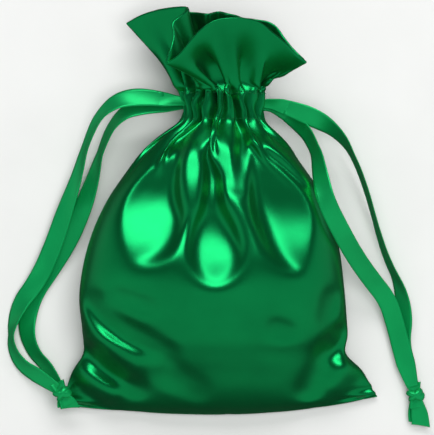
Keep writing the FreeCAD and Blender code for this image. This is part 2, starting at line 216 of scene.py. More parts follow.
# Stations of the belly: length from the bottom seam, y, left, right, heights of the side seams, the top and
# the underside, and the power of the top's curve. A lower power makes a fuller curve.
BODY = [
    (0.0, -65.3, -51.2, 50.9, 1.7, 1.9, 1.5, 1.2),
    (6.6, -62.4, -50.9, 50.0, 2.3, 8.0, 0.4, 1.1),
    (14.0, -57.0, -50.3, 48.2, 3.2, 14.5, 0.0, 1.0),
    (21.5, -51.0, -48.2, 45.5, 5.0, 20.0, 0.0, 0.85),
    (28.5, -45.0, -44.4, 40.2, 7.5, 25.5, 0.0, 0.7),
    (38.5, -38.0, -44.8, 40.6, 10.0, 31.0, 0.0, 0.58),
    (53.4, -25.0, -45.4, 39.6, 13.0, 37.2, 0.0, 0.5),
    (68.5, -10.0, -42.5, 37.6, 14.0, 37.8, 0.0, 0.5),
    (82.9, 4.0, -36.5, 33.3, 14.0, 34.8, 0.0, 0.5),
    (96.3, 16.0, -28.0, 25.5, 13.0, 29.0, 0.4, 0.5),
    (105.5, 24.0, -20.6, 19.6, 12.3, 24.4, 2.0, 0.5),
    (112.0, 29.5, -11.8, 13.2, 12.0, 20.5, 3.5, 0.5),
]

# Hollows of the front, as circles (x, y, floor radius, edge radius, height of the floor) strung along a line.
# The small last circle carries the rising floor past the hollow's end.
HOLLOWS = [
    [(-16.5, 20.0, 2.5, 6.0, 25.0), (-19.0, 14.0, 6.0, 9.5, 25.2), (-21.5, 8.0, 9.4, 12.8, 25.2),
     (-23.0, 3.0, 10.6, 14.0, 26.4), (-23.8, -2.0, 10.4, 13.8, 28.4), (-24.2, -6.0, 8.2, 11.8, 30.2),
     (-24.5, -14.0, 0.5, 2.0, 33.8)],
    [(-4.0, 20.0, 0.6, 3.0, 25.2), (-2.8, 11.0, 1.2, 4.0, 27.0), (-2.2, 3.0, 1.8, 5.0, 28.4),
     (-2.0, -2.5, 3.8, 6.9, 29.2), (-2.2, -8.0, 5.9, 9.0, 31.0), (-2.2, -13.5, 6.4, 9.2, 33.2),
     (-2.0, -20.5, 0.5, 2.0, 36.0)],
    [(10.5, 22.5, 1.5, 4.0, 24.0), (14.5, 16.5, 4.5, 7.5, 25.6), (18.5, 9.0, 7.5, 10.5, 26.0),
     (20.5, 2.0, 8.5, 11.0, 26.4), (21.5, -3.5, 8.0, 10.8, 27.8), (22.5, -9.5, 6.6, 9.6, 29.8),
     (23.5, -16.5, 0.5, 2.0, 32.2)],
    [(-12.5, 29.5, 1.0, 3.0, 18.0), (-15.5, 25.5, 3.5, 5.5, 19.0), (-16.5, 20.5, 0.5, 2.0, 21.5)],
]
# Broad ridges between the hollows, strung the same way: the cloth is brought to the height.
RIDGES = [
    [(-9.8, 20.5, 0.8, 2.6, 27.6), (-9.8, 15.5, 2.6, 4.6, 29.4), (-9.3, 10.0, 3.4, 5.2, 31.5),
     (-9.0, 4.0, 2.6, 4.6, 33.6), (-9.6, -1.5, 0.4, 2.0, 35.2)],
    [(-3.8, 26.5, 1.4, 3.2, 24.4), (-1.4, 21.0, 2.8, 4.6, 27.0), (1.6, 15.0, 2.4, 4.2, 29.4),
     (5.0, 8.5, 1.2, 2.8, 32.0), (9.0, 1.5, 0.4, 1.8, 34.0)],
]
# How far the heights of strung circles blend into each other.
LEVEL_BLEND = 3.0
# The folds fade out within this height above the side seams.
FOLD_FADE = 6.0
CREST_SHARE = 0.3
# Creases, as circles (x, y, edge radius, depth) strung along a line. A depth below zero is a ridge, and
# CREST_SHARE of the radius has the full depth.
CREASES = [
    [(38.5, -39.5, 6.5, 3.4), (33.0, -46.0, 6.0, 3.0), (27.0, -56.0, 5.0, 2.0)],
    [(42.5, -48.5, 8.5, -3.7), (38.0, -54.5, 7.0, -2.2)],
    [(-44.0, -44.0, 5.0, 3.6), (-39.0, -47.5, 5.5, 4.0), (-33.0, -51.5, 5.0, 3.2), (-27.0, -56.5, 4.0, 1.5)],
    [(-48.0, -49.5, 5.5, -3.2), (-42.5, -54.0, 5.5, -3.9), (-36.5, -57.5, 5.0, -3.2)],
    [(-40.0, -27.5, 5.5, 1.9), (-34.0, -33.5, 6.5, 2.9), (-26.0, -40.0, 6.5, 2.7), (-17.0, -45.0, 5.5, 1.2)],
    [(-44.5, -34.5, 6.0, -2.0), (-38.0, -42.0, 7.0, -3.1), (-29.5, -48.0, 7.0, -2.8)],
    [(-33.0, -25.5, 4.0, 2.4), (-23.0, -30.0, 4.0, 2.0)],
    [(-16.0, -52.0, 7.0, 1.5), (-8.0, -56.0, 6.0, 1.0)],
    [(18.5, -37.0, 5.0, 2.0), (22.0, -37.5, 4.0, 1.6)],
    [(35.0, -26.0, 4.5, 2.2), (34.0, -33.0, 4.0, 1.4)],
    [(9.0, 22.5, 2.6, -1.8), (18.0, 18.5, 2.8, -3.0), (28.0, 11.0, 2.6, -2.2)],
    [(6.5, 25.0, 2.6, 2.5), (5.5, 17.0, 2.6, 2.5), (7.0, 8.0, 2.6, 1.5)],
]
# Folds that run up the frill from the casing: panel (0 front, 1 back), place across it, half-width,
# depth at the casing, depth at the rim. A depth below zero stands out.
FRILL_FOLDS = [
    (0, 0.08, 0.05, -2.2, 0.0), (0, 0.20, 0.05, 2.5, 0.3), (0, 0.33, 0.06, -1.2, -0.3),
    (0, 0.46, 0.06, -3.0, 0.3), (0, 0.57, 0.06, 6.5, 1.5), (0, 0.66, 0.04, -3.0, 0.0),
    (0, 0.75, 0.06, 4.5, 0.0), (0, 0.84, 0.06, -1.6, 0.4), (0, 0.93, 0.05, 1.6, 0.2),
    (1, 0.12, 0.06, 2.0, 0.4), (1, 0.25, 0.06, -1.6, -0.8), (1, 0.4, 0.07, 2.4, 0.8),
    (1, 0.55, 0.06, -1.8, -0.8), (1, 0.68, 0.06, 2.2, 0.8), (1, 0.85, 0.07, -1.4, -0.5),
]
# The way the frill leaves the casing.
FRILL_RISE = np.array([0.0, 9.0, 0.0])
# The free edge of the frill, from the left side seam round the front to the right one, and round the back.
RIM_FRONT = [
    (-30.9, 60.8, 11), (-25.7, 63.4, 14), (-19.8, 65.0, 17), (-14.0, 65.6, 20), (-11.0, 65.0, 23),
    (-13.0, 62.6, 26), (-15.6, 60.0, 28), (-15.2, 56.0, 29), (-16.4, 51.5, 30), (-18.2, 46.6, 30.5),
    (-14.6, 47.8, 32), (-11.0, 50.7, 33.5), (-8.2, 54.0, 34.5), (-5.6, 57.2, 35), (-2.0, 59.8, 35),
    (3.0, 61.0, 34.5), (8.6, 60.8, 33), (12.5, 59.6, 31.5), (15.6, 56.9, 30), (20.8, 52.6, 29),
    (24.0, 49.4, 27.5), (27.4, 47.3, 25),
]
RIM_BACK = [
    (27.4, 47.3, 25), (26.6, 48.8, 24), (24.0, 51.6, 22), (20.6, 55.6, 21), (16.4, 60.2, 20),
    (11.0, 61.9, 19), (6.6, 62.9, 17.5), (2.2, 64.0, 19), (-1.0, 64.4, 17), (-4.2, 63.4, 20),
    (-8.0, 64.4, 17), (-12.0, 64.6, 15), (-16.0, 63.8, 12), (-20.0, 62.8, 12), (-24.0, 62.0, 9),
    (-28.0, 61.2, 9), (-30.9, 60.8, 11),
]


def run_along(points):
    """Distance along a line to each of its points."""
    steps = np.linalg.norm(np.diff(points, axis=0), axis=1)
    return np.concatenate([[0], np.cumsum(steps)])


def smooth_line(points, count):
    """Even points along a Catmull-Rom line through given points."""
    p = np.array(points, float)
    p = np.vstack([2 * p[0] - p[1], p, 2 * p[-1] - p[-2]])
    out = []
    for a, b, c, d in zip(p, p[1:], p[2:], p[3:]):
        for t in np.linspace(0, 1, 12, endpoint=False):
            out.append(0.5 * (2 * b + (c - a) * t + (2 * a - 5 * b + 4 * c - d) * t * t
                              + (3 * b - a - 3 * c + d) * t ** 3))
    out.append(p[-2])
    out = np.array(out)
    run = run_along(out)
    at = np.linspace(0, run[-1], count)
    return np.stack([np.interp(at, run, out[:, k]) for k in range(out.shape[1])], axis=1)


def smoothstep(low, high, value):
    t = np.clip((value - low) / (high - low), 0, 1)
    return t * t * (3 - 2 * t)


def smooth_values(shares, keys):
    """Values at shares, easing from each key to the next."""
    result = np.interp(shares, *zip(*keys))
    for _ in range(TURN_SMOOTHING):
        result[1:-1] = (result[:-2] + 2 * result[1:-1] + result[2:]) / 4
    return result


def cloth_normals(cloth):
    """Outward normals of the cloth grid."""
    along = np.gradient(cloth, axis=0)
    around = np.roll(cloth, -1, 1) - np.roll(cloth, 1, 1)
    normal = np.cross(around, along)
    return normal / (np.linalg.norm(normal, axis=-1, keepdims=True) + 1e-9)


def pleat_columns():
    """For each column: its share of the way across its panel at the neck, and how deep in a pleat it lies."""
    half = PANEL_COLUMNS
    place = np.zeros(COLUMNS)
    depth = np.zeros(COLUMNS)
    for first, pleats in ((0, FRONT_PLEATS), (half, BACK_PLEATS)):
        widths = [width for width, _ in pleats]
        depths = np.array([deep for _, deep in pleats] + [pleats[0][1]])
        edges = np.concatenate([[0], np.cumsum(widths)]) / sum(widths)
        along = np.arange(half) / half * len(widths)
        k = along.astype(int)
        part = along - k
        place[first:first + half] = edges[k] + (edges[k + 1] - edges[k]) * part
        nearest = depths[np.round(along).astype(int)]
        depth[first:first + half] = nearest * (0.5 + 0.5 * np.cos(2 * np.pi * part)) ** 2.2
    return place, depth


def body_profile():
    """Station values at every row's length from the bottom seam."""
    line = smooth_line(BODY, 1000)
    lengths = np.minimum(ROW_LENGTHS, BELLY_LENGTH)
    return np.stack([np.interp(lengths, line[:, 0], line[:, k]) for k in range(1, line.shape[1])], axis=1)


def half_section(station, neck, shares, front):
    """x and z at shares of the way along the front or back half of one cross-section.

    neck runs from 0 to 1 as the section turns from a plump sack into the ellipse of the neck.
    """
    _, left, right, seam, top, bottom, power = station
    angle = np.linspace(math.pi, 0, SECTION_STEPS)
    x = (left + right) / 2 + (right - left) / 2 * np.cos(angle)
    if front:
        plump = (top - seam) * (1 - np.abs(np.cos(angle)) ** FRONT_SHOULDERS) ** power
        ring = (top - seam) * np.sin(angle)
    else:
        plump = (bottom - seam) * (1 - np.abs(np.cos(angle)) ** BACK_SHOULDERS) ** 0.5
        ring = (bottom - seam) * np.sin(angle)
        x = x[::-1]
    z = seam + plump + (ring - plump) * neck
    run = np.concatenate([[0], np.cumsum(np.hypot(np.diff(x), np.diff(z)))])
    return np.interp(shares * run[-1], run, x), np.interp(shares * run[-1], run, z)


def body_cloth():
    """The belly and casing of the sack, as rows from the bottom seam up and columns round it."""
    place, depth = pleat_columns()
    even = np.arange(PANEL_COLUMNS) / PANEL_COLUMNS
    cloth = np.zeros((ROWS, COLUMNS, 3))
    for i, station in enumerate(body_profile()):
        length = min(ROW_LENGTHS[i], BELLY_LENGTH)
        above = max(ROW_LENGTHS[i] - BELLY_LENGTH, 0)
        gathered = smoothstep(*GATHER_SPAN, length)
        rounded = smoothstep(*ROUND_SPAN, length)
        fold = smoothstep(*PLEAT_SPAN, length)
        wandering = smoothstep(*WANDER_SPAN, ROW_LENGTHS[i])
        puff = CASING_PUFF * math.sin(math.pi * min(above / CASING_LENGTH, 1)) ** 0.7 if above > 0 else 0.0
        for first, front in ((0, True), (PANEL_COLUMNS, False)):
            columns = slice(first, first + PANEL_COLUMNS)
            share = even + (place[columns] - even) * gathered
            x, z = half_section(station, rounded, share, front)
            away = np.stack([x - NECK_X, z - NECK_Z])
            away /= np.hypot(*away) + 1e-6
            wobble = 1 + 0.25 * np.sin(0.55 * above + 7 * share) if above > 0 else 1.0
            inset = depth[columns] * fold * wobble - puff * (1 - depth[columns] / 8)
            wander = 0.7 * np.sin(0.5 * above + 11 * share) + 0.4 * np.sin(1.1 * above + 23 * share)
            rise = np.where(x < 0, LEFT_CORNER_RISE, RIGHT_CORNER_RISE) * (x / (PANEL_WIDTH / 2)) ** 2
            cloth[i, columns, 0] = x - away[0] * inset + wander * wandering
            cloth[i, columns, 1] = station[0] + rise * (1 - smoothstep(*CORNER_SPAN, length)) + above
            cloth[i, columns, 2] = z - away[1] * inset
    return cloth


def hermite(t, start, start_slope, end, end_slope):
    """The cubic curve from start to end with a given slope at each."""
    return ((2 * t ** 3 - 3 * t ** 2 + 1) * start + (t ** 3 - 2 * t ** 2 + t) * start_slope
            + (3 * t ** 2 - 2 * t ** 3) * end + (t ** 3 - t ** 2) * end_slope)


def add_frill(cloth):
    """Fills the rows above the casing: the cloth leaves it upwards and fans out to the frill's rim."""
    half = PANEL_COLUMNS
    rim = np.vstack([smooth_line(line, half + 1)[:-1] for line in (RIM_FRONT, RIM_BACK)])
    first_row = int(np.searchsorted(ROW_LENGTHS, BELLY_LENGTH + CASING_LENGTH))
    frill_rows = range(first_row, ROWS)
    casing_top = ROW_LENGTHS[first_row - 1]
    heights = (ROW_LENGTHS - casing_top) / (CLOTH_LENGTH - casing_top)
    start = cloth[first_row - 1]
    for i in frill_rows:
        cloth[i] = hermite(heights[i], start, FRILL_RISE, rim, rim - start)
    shares = np.arange(half) / half
    normals = cloth_normals(cloth)
    for i in frill_rows:
        t = heights[i]
        for panel, place, width, deep, rim_deep in FRILL_FOLDS:
            columns = slice(panel * half, panel * half + half)
            shape = np.exp(-((shares - place) / (width * (1 + 0.5 * t))) ** 2)
            depth = (deep * (1 - smoothstep(0.25, 0.95, t)) + rim_deep * t) * smoothstep(0.0, 0.2, t)
            cloth[i, columns] -= normals[i, columns] * (shape * depth)[:, None]


def strung(circles, x, y):
    """Weight of the strung circles at x, y, full inside the floor radius, and the level that goes with it."""
    line = smooth_line(circles, 40)
    weight = np.zeros_like(x)
    total = np.zeros_like(x)
    levels = np.zeros_like(x)
    for cx, cy, floor, edge, level in line:
        away = np.hypot(x - cx, y - cy)
        weight = np.maximum(weight, 1 - smoothstep(floor, edge, away))
        share = np.exp(-(away / LEVEL_BLEND) ** 2) + 1e-9 * np.exp(-away)
        total += share
        levels += share * level
    return weight, levels / total


def press_folds(cloth):
    """Presses the hollows into the front of the belly, raises the ridges, and creases it."""
    front = cloth[:BELLY_ROWS, :PANEL_COLUMNS]
    seam = body_profile()[:BELLY_ROWS, 3][:, None]
    on_top = smoothstep(0.0, FOLD_FADE, front[..., 2] - seam)
    x, y = front[..., 0].copy(), front[..., 1].copy()
    # A slow waver keeps the outlines of the circles from being too even.
    x, y = x + 0.7 * np.sin(0.17 * y + 1.3), y + 0.8 * np.sin(0.19 * x + 2.0)
    for circles in HOLLOWS:
        weight, floor = strung(circles, x, y)
        front[..., 2] -= weight * on_top * np.maximum(front[..., 2] - floor, 0)
    for circles in RIDGES:
        weight, crest = strung(circles, x, y)
        front[..., 2] += weight * on_top * (crest - front[..., 2])
    for circles in CREASES:
        rings = [(cx, cy, CREST_SHARE * edge, edge, deep) for cx, cy, edge, deep in circles]
        weight, depth = strung(rings, x, y)
        front[..., 2] -= weight * on_top * depth


def home_pull():
    """For each row, how strongly it is held at its shaped place while the cloth settles."""
    pull = np.full(ROWS, BELLY_HOLD)
    pull[ROW_LENGTHS < 1.0] = SEAM_HOLD
    pull[ROW_LENGTHS > BELLY_LENGTH - 1] = CASING_HOLD
    pull[ROW_LENGTHS > BELLY_LENGTH + CASING_LENGTH + 1] = FRILL_HOLD
    pull[ROW_LENGTHS > CLOTH_LENGTH - 2] = RIM_HOLD
    return pull[:, None, None]


def rough_start():
    """Small smooth random offsets that start the wrinkles."""
    rough = np.random.default_rng(4).normal(0, 1, (ROWS, COLUMNS, 3))
    for _ in range(ROUGHNESS_SMOOTHING):
        rough = (rough + np.roll(rough, 1, 1) + np.roll(rough, -1, 1)) / 3
        rough[1:-1] = (rough[:-2] + rough[1:-1] + rough[2:]) / 3
    return rough / rough.std() * START_ROUGHNESS


def bend_force(cloth):
    """How far each point stands out of the even curve of its neighbours."""
    force = cloth
    for _ in range(2):
        curve = (np.roll(force, 1, 1) + np.roll(force, -1, 1)) / 2 - force
        curve[1:-1] += (force[:-2] + force[2:]) / 2 - force[1:-1]
        force = curve
    return force


def settle(cloth):
    """Cloth simulation: threads that resist stretch and squeeze, in a cloth that resists bending, on the floor.

    The shaped cloth pulls every point home, so the large folds stay, and small ones form where cloth is spare.
    """
    home = cloth.copy()
    pull = home_pull()
    cloth = cloth + rough_start()
    diagonal = math.sqrt(2)
    # Rows up, columns across, length at rest in millimetres, stiffness.
    spans = ((0, 1, 1.0, 1.0), (1, 0, 1.0, 1.0),
             (1, 1, diagonal, DIAGONAL_STIFFNESS), (1, -1, diagonal, DIAGONAL_STIFFNESS))
    for _ in range(SETTLE_STEPS):
        move = np.zeros_like(cloth)
        for up, across, rest, stiffness in spans:
            own = cloth[:ROWS - up]
            gap = np.roll(cloth, -across, 1)[up:] - own
            length = np.linalg.norm(gap, axis=-1)
            wanted = np.clip(length, SQUEEZE * rest, rest)
            push = gap * ((1 - wanted / np.maximum(length, 1e-6)) * 0.5 * stiffness)[..., None]
            move[:ROWS - up] += push
            move[up:] -= np.roll(push, across, 1)
        cloth = cloth + move * EASE - bend_force(cloth) * BEND
        cloth += (home - cloth) * pull
        cloth[..., 2] = np.maximum(cloth[..., 2], 0.0)
    return cloth


def shape_cloth():
    """The sack's cloth as a grid of points in millimetres: rows from the bottom seam, columns round it."""
    cloth = body_cloth()
    press_folds(cloth)
    add_frill(cloth)
    return settle(cloth)


def new_material(name):
    material = bpy.data.materials.new(name)
    material.use_nodes = True
    tree = material.node_tree
    return material, tree, tree.nodes["Principled BSDF"]


def add_node(tree, kind, **values):
    """A node with its named inputs set."""
    node = tree.nodes.new(kind)
    for name, value in values.items():
        node.inputs[name].default_value = value
    return node


def stretched_noise(tree, coordinates, scale, stretch, detail=2.0):
    """Noise drawn out along one direction of the cloth."""
    mapping = add_node(tree, "ShaderNodeMapping", Scale=stretch)
    noise = add_node(tree, "ShaderNodeTexNoise", Scale=scale, Detail=detail)
    tree.links.new(coordinates, mapping.inputs["Vector"])
    tree.links.new(mapping.outputs["Vector"], noise.inputs["Vector"])
    return noise.outputs["Fac"]


def bump(tree, height, distance, strength, normal=None):
    node = add_node(tree, "ShaderNodeBump", Distance=distance, Strength=strength)
    tree.links.new(height, node.inputs["Height"])
    if normal is not None:
        tree.links.new(normal, node.inputs["Normal"])
    return node.outputs["Normal"]


def colour_between(tree, factor, low, high, low_colour, high_colour):
    ramp = tree.nodes.new("ShaderNodeValToRGB")
    ramp.color_ramp.elements[0].position = low
    ramp.color_ramp.elements[0].color = (*low_colour, 1)
    ramp.color_ramp.elements[1].position = high
    ramp.color_ramp.elements[1].color = (*high_colour, 1)
    tree.links.new(factor, ramp.inputs["Fac"])
    return ramp.outputs["Color"]


def satin_material(name, colours, metallic, roughness):
    """Satin: bright floats of yarn, drawn out along the warp, on a slightly uneven cloth."""
    material, tree, shader = new_material(name)
    shader.inputs["Metallic"].default_value = metallic
    shader.inputs["Specular IOR Level"].default_value = 0.4
    shader.inputs["Sheen Weight"].default_value = 0.05
    shader.inputs["Sheen Roughness"].default_value = 0.4
    shader.inputs["Sheen Tint"].default_value = (*SHEEN_COLOUR, 1)
    uv = tree.nodes.new("ShaderNodeUVMap")
    uv.uv_map = "cloth"
    warp = stretched_noise(tree, uv.outputs["UV"], scale=1000.0, stretch=(4.5, 0.5, 1.0))
    weft = stretched_noise(tree, uv.outputs["UV"], scale=1000.0, stretch=(0.6, 3.0, 1.0))
    patches = stretched_noise(tree, uv.outputs["UV"], scale=60.0, stretch=(1.0, 1.0, 1.0), detail=4.0)
    tree.links.new(colour_between(tree, patches, 0.3, 0.7, *colours), shader.inputs["Base Color"])
    rough = tree.nodes.new("ShaderNodeMapRange")
    rough.inputs["To Min"].default_value = roughness - 0.04
    rough.inputs["To Max"].default_value = roughness + 0.05
    tree.links.new(warp, rough.inputs["Value"])
    tree.links.new(rough.outputs["Result"], shader.inputs["Roughness"])
    uneven = bump(tree, patches, distance=0.0004, strength=0.25)
    floats = bump(tree, warp, distance=0.00004, strength=0.25, normal=uneven)
    weave = bump(tree, weft, distance=0.00003, strength=0.2, normal=floats)
    tree.links.new(weave, shader.inputs["Normal"])
    return material


def thread_material(name, colour):
    """Spun thread, with its twist as fine slanting ridges."""
    material, tree, shader = new_material(name)
    shader.inputs["Roughness"].default_value = 0.5
    shader.inputs["Specular IOR Level"].default_value = 0.2
    shader.inputs["Sheen Weight"].default_value = 0.3
    shader.inputs["Sheen Tint"].default_value = (*colour, 1.0)
    place = tree.nodes.new("ShaderNodeNewGeometry")
    twist = stretched_noise(tree, place.outputs["Position"], scale=3000.0, stretch=(1.0, 2.0, 1.5))
    darker = tuple(c * 0.6 for c in colour)
    tree.links.new(colour_between(tree, twist, 0.3, 0.7, darker, colour), shader.inputs["Base Color"])
    tree.links.new(bump(tree, twist, distance=0.00008, strength=0.5), shader.inputs["Normal"])
    return material


def floor_material():
    material, tree, shader = new_material("pale_floor")
    shader.inputs["Roughness"].default_value = 0.9
    place = tree.nodes.new("ShaderNodeNewGeometry")
    grain = stretched_noise(tree, place.outputs["Position"], scale=40.0, stretch=(1.0, 1.0, 1.0), detail=6.0)
    tree.links.new(colour_between(tree, grain, 0.2, 0.8, *FLOOR_COLOURS), shader.inputs["Base Color"])
    return material


def make_camera():
    data = bpy.data.cameras.new("camera")
    data.lens = CAMERA_LENS
    camera = bpy.data.objects.new("camera", data)
    camera.location = Vector(CAMERA_PLACE) * MM
    bpy.context.scene.collection.objects.link(camera)
    bpy.context.scene.camera = camera


def make_light(name, place, target, size, power):
    """A rectangular soft light aimed at a point of the sack."""
    data = bpy.data.lights.new(name, "AREA")
    data.shape = "RECTANGLE"
    data.size, data.size_y = size
    data.energy = power
    light = bpy.data.objects.new(name, data)
    light.location = Vector(place)
    light.rotation_euler = (Vector(target) - Vector(place)).to_track_quat("-Z", "Y").to_euler()
    bpy.context.scene.collection.objects.link(light)
    return light


def eased(tree, value, low, high, at_low, at_high):
    """A node that eases from at_low to at_high while a value goes from low to high."""
    step = add_node(tree, "ShaderNodeMapRange", **{"From Min": low, "From Max": high, "To Min": at_low,
                                                   "To Max": at_high})
    step.interpolation_type = "SMOOTHSTEP"
    tree.links.new(value, step.inputs["Value"])
    return step.outputs["Result"]


def calculation(tree, operation, first, second):
    """A maths node of two values, each a number or another node's output."""
    node = tree.nodes.new("ShaderNodeMath")
    node.operation = operation
    for socket, value in zip(node.inputs, (first, second)):
        if isinstance(value, float):
            socket.default_value = value
        else:
            tree.links.new(value, socket)
    return node.outputs["Value"]


def make_surround():
    """A dim room: even light from the sides and from beyond the bottom seam.

    It is darker below, overhead and beyond the mouth.
    """
    world = bpy.data.worlds.new("surround")
    world.use_nodes = True
    tree = world.node_tree
    direction = tree.nodes.new("ShaderNodeTexCoord")
    parts = tree.nodes.new("ShaderNodeSeparateXYZ")
    tree.links.new(direction.outputs["Generated"], parts.inputs["Vector"])
    ahead, upwards = parts.outputs["Y"], parts.outputs["Z"]
    rise = calculation(tree, "ADD", upwards, calculation(tree, "MULTIPLY", ahead, 0.35))
    over_floor = eased(tree, rise, -0.5, -0.2, 0.08, 1.0)
    beyond = calculation(tree, "ADD", ahead, calculation(tree, "MULTIPLY", upwards, 0.5))
    before_mouth = eased(tree, beyond, 0.2, 0.55, 1.0, 0.1)
    share = calculation(tree, "MULTIPLY", over_floor, before_mouth)
    strength = calculation(tree, "MULTIPLY", share, SURROUND_STRENGTH)
    background = tree.nodes["Background"]
    background.inputs["Color"].default_value = (*SURROUND_COLOUR, 1)
    tree.links.new(strength, background.inputs["Strength"])
    bpy.context.scene.world = world


def make_studio():
    """Pale floor, one wide soft key light beyond the mouth of the sack, and an even surround."""
    make_light("key_light", *KEY_LIGHT)
    make_light("ceiling_light", *CEILING_LIGHT).visible_glossy = False
    make_surround()
    bpy.context.scene.view_settings.view_transform = "Standard"
    half = FLOOR_SIZE / 2 * MM
    corners = [(-half, -half, 0), (half, -half, 0), (half, half, 0), (-half, half, 0)]
    floor = mesh_object("floor", corners, [(0, 1, 2, 3)], floor_material())
    floor.visible_glossy = False


def mesh_object(name, points, faces, material, uvs=None, smooth=False):
    """A mesh from points in metres. uvs holds one pair in metres for each point."""
    mesh = bpy.data.meshes.new(name)
    mesh.from_pydata([tuple(p) for p in points], [], faces)
    mesh.materials.append(material)
    if uvs is not None:
        layer = mesh.uv_layers.new(name="cloth")
        corner_points = np.zeros(len(mesh.loops), np.int32)
        mesh.loops.foreach_get("vertex_index", corner_points)
        layer.data.foreach_set("uv", np.asarray(uvs, np.float32)[corner_points].ravel())
    if smooth:
        mesh.polygons.foreach_set("use_smooth", [True] * len(mesh.polygons))
    mesh.update()
    obj = bpy.data.objects.new(name, mesh)
    bpy.context.scene.collection.objects.link(obj)
    return obj


def route_points(route):
    """Points in metres along the smooth NURBS line of a ribbon's route."""
    data = bpy.data.curves.new("route", "CURVE")
    data.dimensions = "3D"
    data.resolution_u = 16
    spline = data.splines.new("NURBS")
    spline.points.add(len(route) - 1)
    for point, place in zip(spline.points, route):
        point.co = (*(Vector(place) * MM), 1.0)
    spline.order_u = 3
    spline.use_endpoint_u = True
    obj = bpy.data.objects.new("route", data)
    bpy.context.scene.collection.objects.link(obj)
    graph = bpy.context.evaluated_depsgraph_get()
    mesh = bpy.data.meshes.new_from_object(obj.evaluated_get(graph))
    points = np.array([v.co for v in mesh.vertices], float)
    bpy.data.objects.remove(obj)
    bpy.data.meshes.remove(mesh)
    return points


def strip_object(name, points, turns, widths, material, thicknesses=((0, RIBBON_THICKNESS),), cup=RIBBON_CUP):
    """A ribbon along points in metres, its edges bowed up by cup.

    turns, widths and thicknesses list (share of the length, value).
    """
    run = run_along(points)
    share = run / run[-1]
    turn = np.radians(smooth_values(share, turns))
    width = smooth_values(share, widths) * MM
    thickness = np.interp(share, *zip(*thicknesses)) * MM
    along = np.gradient(points, axis=0)
    along /= np.linalg.norm(along, axis=1, keepdims=True)
    level = np.cross((0.0, 0.0, 1.0), along)
    level /= np.linalg.norm(level, axis=1, keepdims=True)
    up = np.cross(along, level)
    across = level * np.cos(turn)[:, None] + up * np.sin(turn)[:, None]
    out = up * np.cos(turn)[:, None] - level * np.sin(turn)[:, None]
    places = np.linspace(-0.5, 0.5, STRIP_PLACES)
    # The woven edges are a little thicker than the middle.
    profile = 0.75 + 0.25 * (2 * np.abs(places)) ** 6
    there = range(STRIP_PLACES)
    rings = []
    uvs = []
    for side, order in ((1, there), (-1, reversed(there))):
        for k in order:
            bow = cup * MM * ((2 * places[k]) ** 2 - 0.5)
            height = bow + side * thickness / 2 * profile[k]
            rings.append(points + across * (places[k] * width)[:, None] + out * height[:, None])
            uvs.append(np.stack([np.full(len(run), (places[k] + 0.5) * RIBBON_WIDTH * MM), run], axis=1))
    return tube_object(name, np.array(rings), np.array(uvs), material)


def tube_object(name, rings, uvs, material, closed_ends=True):
    """A closed surface from lines of points: rings[k][i] is corner k of section i."""
    corners, sections = rings.shape[:2]
    faces = []
    for i in range(sections - 1):
        for k in range(corners):
            n = (k + 1) % corners
            faces.append((k * sections + i, n * sections + i, n * sections + i + 1, k * sections + i + 1))
    if closed_ends:
        faces.append(tuple(k * sections for k in range(corners - 1, -1, -1)))
        faces.append(tuple(k * sections + sections - 1 for k in range(corners)))
    tube = mesh_object(name, rings.reshape(-1, 3), faces, material, uvs.reshape(-1, 2), smooth=True)
    if closed_ends:
        for end in (-1, -2):
            tube.data.polygons[end].use_smooth = False
    return tube


def lifted(points, turns):
    """The line of a ribbon, raised where its lower edge would go through the floor."""
    run = run_along(points)
    turn = np.radians(smooth_values(run / run[-1], turns))
    lowest = points[:, 2] - (RIBBON_WIDTH / 2 * np.abs(np.sin(turn)) + RIBBON_THICKNESS) * MM
    rise = np.maximum(-lowest, 0)
    for _ in range(LIFT_SPREAD):
        rise[1:-1] = np.maximum(rise[1:-1], (rise[:-2] + rise[2:]) / 2)
    points[:, 2] += rise
    return points


def make_strand(name, route, turns, material):
    """One ribbon from its exit to its knot, and the points it follows."""
    points = lifted(route_points(route), turns)
    return strip_object(name, points, turns, STRAND_WIDTHS, material, STRAND_THICKNESSES), points


def knot_frame(centre, angle):
    """The middle of a knot, and the directions along its ribbons, across them and up."""
    along = np.array([math.cos(math.radians(angle)), math.sin(math.radians(angle)), 0.0])
    across = np.array([-along[1], along[0], 0.0])
    return np.array(centre, float), along, across, np.array([0.0, 0.0, 1.0])


def wrap_object(name, centre, angle, slant, half_width, half_height, band, material):
    """One band of ribbon wrapped round the ribbons that pass through a knot."""
    middle, along, across, up = knot_frame(centre, angle)
    slant = math.radians(slant)
    side = across * math.cos(slant) + along * math.sin(slant)
    facing = np.cross(side, up)
    turn = np.linspace(0, 2 * math.pi, WRAP_SECTIONS)
    rings = []
    uvs = []
    for k in range(WRAP_CORNERS):
        a = 2 * math.pi * k / WRAP_CORNERS
        shift = band / 2 * math.cos(a)
        ripple = 1 + 0.05 * np.sin(5 * turn + 2 * k)
        grow = WRAP_HALF_THICKNESS * math.sin(a) * ripple - WRAP_EDGE_INSET * math.cos(a) ** 2
        line = (middle + np.outer(np.cos(turn) * (half_width + grow), side)
                + np.outer(np.sin(turn) * (half_height + grow), up)
                + np.outer(shift * (0.8 + 0.2 * np.cos(turn)), facing))
        rings.append(line * MM)
        uvs.append(np.stack([np.full(WRAP_SECTIONS, k * 0.5), turn * half_width], axis=1) * MM)
    return tube_object(name, np.array(rings), np.array(uvs), material, closed_ends=False)


